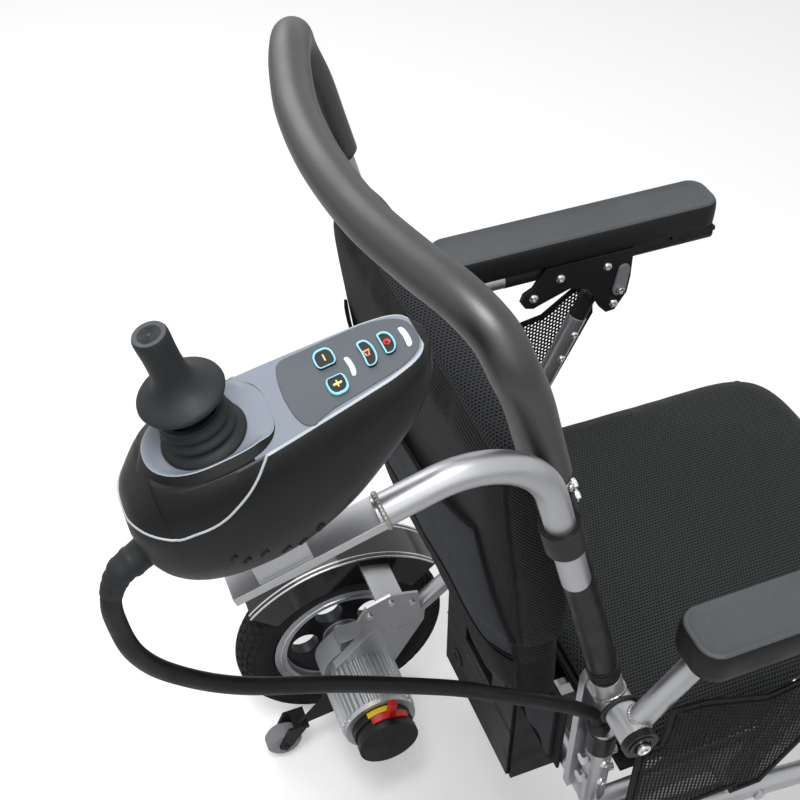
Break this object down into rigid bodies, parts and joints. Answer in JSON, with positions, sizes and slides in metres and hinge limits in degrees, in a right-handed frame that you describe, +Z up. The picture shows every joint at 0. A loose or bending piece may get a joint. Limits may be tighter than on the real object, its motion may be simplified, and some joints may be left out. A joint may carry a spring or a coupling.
{
  "type": "folding power wheelchair",
  "caption": "Folding power wheelchair with a padded push hoop, attendant joystick control on the back post, flip-up armrests, swivel casters and geared drive wheels.",
  "frame": {"origin": "on the floor under the middle of the chair's box, measured without the controller cable and its gland", "axes": "+Z up, the chair faces -Y, +X towards the chair's left side"},
  "size_m": [0.59, 1.065, 1.1447],
  "materials": {
    "frame_silver": "satin silver lacquer on drawn tube",
    "hinge_cast": "bead-blasted casting",
    "bright_steel": "zinc-plated",
    "black_plastic": "fine grain",
    "sleeve_black": "shrink sleeve",
    "foam_black": "closed-cell foam skin",
    "seat_mesh": "spacer mesh over foam",
    "back_mesh": "spacer mesh with woven borders",
    "pocket_cloth": "woven polyester",
    "guard_mesh": "open net",
    "board_black": "pressed board",
    "battery_case": "spark-textured",
    "control_shell": "soft satin",
    "control_keypad": "membrane film",
    "key_cap": "printed film",
    "stick_rubber": "moulded",
    "cable_black": "jacket",
    "pad_skin": "self-skinned foam, fine leather grain",
    "bracket_black": "powder coat",
    "latch_grey": "moulded",
    "foot_black": "ribbed",
    "caster_black": "solid caster tyre",
    "fender_gloss": "polished",
    "motor_alu": "cast fins",
    "lever_red": "moulded",
    "drive_tyre": "block tread",
    "rim_silver": "silver lacquer",
    "tip_grey": "solid tyre"
  },
  "bodies": {
    "seat_frame": {"seat_frame": "frame_silver", "hinge_axles": "bright_steel", "hinge_caps": "black_plastic", "seat_board": "board_black", "seat_cushion": "seat_mesh", "battery_tray": "bracket_black", "side_guards": "guard_mesh", "rear_skirt": "pocket_cloth", "frame_bolts": "bright_steel"},
    "battery": {"battery_pack": "battery_case"},
    "backrest": {"back_tube": "frame_silver", "hinge_barrels": "hinge_cast", "foam_grip": "foam_black", "back_cover": "back_mesh", "back_pocket": "pocket_cloth", "post_sleeves": "sleeve_black", "control_arm": "frame_silver", "arm_clip": "black_plastic", "controller_base": "control_shell", "controller_top": "control_shell", "keypad_panel": "control_keypad", "joystick_base": "black_plastic", "joystick_boot": "stick_rubber", "cable_gland": "black_plastic", "controller_cable": "cable_black"},
    "gimbal": {"joystick_gimbal": "bright_steel"},
    "stick": {"joystick_stick": "stick_rubber"},
    "minus_button": {"minus_button": "key_cap"},
    "plus_button": {"plus_button": "key_cap"},
    "horn_button": {"horn_button": "key_cap"},
    "power_button": {"power_button": "key_cap"},
    "left_armrest": {"left_arm_tubes": "frame_silver", "left_arm_bracket": "bracket_black", "left_arm_pad": "pad_skin"},
    "left_latch": {"left_arm_latch": "latch_grey"},
    "right_armrest": {"right_arm_tubes": "frame_silver", "right_arm_bracket": "bracket_black", "right_arm_pad": "pad_skin"},
    "right_latch": {"right_arm_latch": "latch_grey"},
    "front_frame": {"front_frame": "frame_silver"},
    "footplate": {"footplate": "foot_black"},
    "left_caster": {"left_caster_fork": "hinge_cast"},
    "left_caster_wheel": {"left_caster_wheel": "caster_black"},
    "right_caster": {"right_caster_fork": "hinge_cast"},
    "right_caster_wheel": {"right_caster_wheel": "caster_black"},
    "rear_frame": {"rear_frame": "frame_silver", "fenders": "fender_gloss", "motors": "motor_alu", "gearboxes": "motor_alu", "motor_caps": "black_plastic", "anti_tip_brackets": "bracket_black", "rear_rivets": "bright_steel"},
    "left_release": {"left_release_lever": "lever_red"},
    "right_release": {"right_release_lever": "lever_red"},
    "left_wheel": {"left_tyre": "drive_tyre", "left_rim": "rim_silver"},
    "right_wheel": {"right_tyre": "drive_tyre", "right_rim": "rim_silver"},
    "left_tip_wheel": {"left_anti_tip_wheel": "tip_grey"},
    "right_tip_wheel": {"right_anti_tip_wheel": "tip_grey"}
  },
  "joints": [
    {"name": "base_fold", "type": "hinge", "parent": "seat_frame", "child": "front_frame", "pos_m": [0, 0.15228, 0.44], "axis": [1, 0, 0], "range_deg": [0, 25]},
    {"name": "leg_fold", "type": "hinge", "parent": "front_frame", "child": "rear_frame", "pos_m": [0, -0.01291, 0.40938], "axis": [1, 0, 0], "range_deg": [-50, 0]},
    {"name": "back_fold", "type": "hinge", "parent": "seat_frame", "child": "backrest", "pos_m": [0, 0.15228, 0.612], "axis": [1, 0, 0], "range_deg": [0, 66]},
    {"name": "left_arm_flip", "type": "hinge", "parent": "seat_frame", "child": "left_armrest", "pos_m": [0.25, 0.15228, 0.612], "axis": [-1, 0, 0], "range_deg": [0, 92]},
    {"name": "right_arm_flip", "type": "hinge", "parent": "seat_frame", "child": "right_armrest", "pos_m": [-0.25, 0.15228, 0.612], "axis": [-1, 0, 0], "range_deg": [0, 65]},
    {"name": "left_latch_turn", "type": "hinge", "parent": "left_armrest", "child": "left_latch", "pos_m": [0.232, -0.09172, 0.655], "axis": [-1, 0, 0], "range_deg": [0, 90]},
    {"name": "right_latch_turn", "type": "hinge", "parent": "right_armrest", "child": "right_latch", "pos_m": [-0.232, -0.09172, 0.655], "axis": [-1, 0, 0], "range_deg": [0, 90]},
    {"name": "footplate_flip", "type": "hinge", "parent": "front_frame", "child": "footplate", "pos_m": [0, -0.39972, 0.117], "axis": [-1, 0, 0], "range_deg": [0, 85]},
    {"name": "left_caster_swivel", "type": "hinge", "parent": "front_frame", "child": "left_caster", "pos_m": [0.212, -0.25972, 0.2], "axis": [0, 0, 1], "continuous": true},
    {"name": "right_caster_swivel", "type": "hinge", "parent": "front_frame", "child": "right_caster", "pos_m": [-0.212, -0.25972, 0.2], "axis": [0, 0, 1], "continuous": true},
    {"name": "left_caster_roll", "type": "hinge", "parent": "left_caster", "child": "left_caster_wheel", "pos_m": [0.212, -0.21972, 0.089], "axis": [1, 0, 0], "continuous": true},
    {"name": "right_caster_roll", "type": "hinge", "parent": "right_caster", "child": "right_caster_wheel", "pos_m": [-0.212, -0.21972, 0.089], "axis": [1, 0, 0], "continuous": true},
    {"name": "left_drive", "type": "hinge", "parent": "rear_frame", "child": "left_wheel", "pos_m": [0.264, 0.25028, 0.145], "axis": [1, 0, 0], "continuous": true},
    {"name": "right_drive", "type": "hinge", "parent": "rear_frame", "child": "right_wheel", "pos_m": [-0.264, 0.25028, 0.145], "axis": [1, 0, 0], "continuous": true},
    {"name": "left_tip_roll", "type": "hinge", "parent": "rear_frame", "child": "left_tip_wheel", "pos_m": [0.2, 0.35828, 0.031], "axis": [1, 0, 0], "continuous": true},
    {"name": "right_tip_roll", "type": "hinge", "parent": "rear_frame", "child": "right_tip_wheel", "pos_m": [-0.2, 0.35828, 0.031], "axis": [1, 0, 0], "continuous": true},
    {"name": "left_release_turn", "type": "hinge", "parent": "rear_frame", "child": "left_release", "pos_m": [0.09, 0.25028, 0.145], "axis": [-1, 0, 0], "range_deg": [0, 35]},
    {"name": "right_release_turn", "type": "hinge", "parent": "rear_frame", "child": "right_release", "pos_m": [-0.09, 0.25028, 0.145], "axis": [-1, 0, 0], "range_deg": [0, 35]},
    {"name": "battery_slide", "type": "slide", "parent": "seat_frame", "child": "battery", "axis": [0, 1, 0], "range_m": [0, 0.15]},
    {"name": "stick_forward", "type": "hinge", "parent": "backrest", "child": "gimbal", "pos_m": [-0.232, 0.46634, 1.05524], "axis": [1, 0, 0], "range_deg": [-14, 14], "stiffness_Nm_per_rad": 0.4},
    {"name": "stick_side", "type": "hinge", "parent": "gimbal", "child": "stick", "pos_m": [-0.232, 0.46634, 1.05524], "axis": [0, 0.9703, -0.2419], "range_deg": [-14, 14], "stiffness_Nm_per_rad": 0.4},
    {"name": "minus_press", "type": "slide", "parent": "backrest", "child": "minus_button", "axis": [0, -0.2419, -0.9703], "range_m": [0, 0.0012], "stiffness_N_per_m": 800},
    {"name": "plus_press", "type": "slide", "parent": "backrest", "child": "plus_button", "axis": [0, -0.2419, -0.9703], "range_m": [0, 0.0012], "stiffness_N_per_m": 800},
    {"name": "horn_press", "type": "slide", "parent": "backrest", "child": "horn_button", "axis": [0, -0.2419, -0.9703], "range_m": [0, 0.0012], "stiffness_N_per_m": 800},
    {"name": "power_press", "type": "slide", "parent": "backrest", "child": "power_button", "axis": [0, -0.2419, -0.9703], "range_m": [0, 0.0012], "stiffness_N_per_m": 800}
  ],
  "couplings": [
    {"joint": "leg_fold", "follows": "base_fold", "ratio": -2}
  ]
}
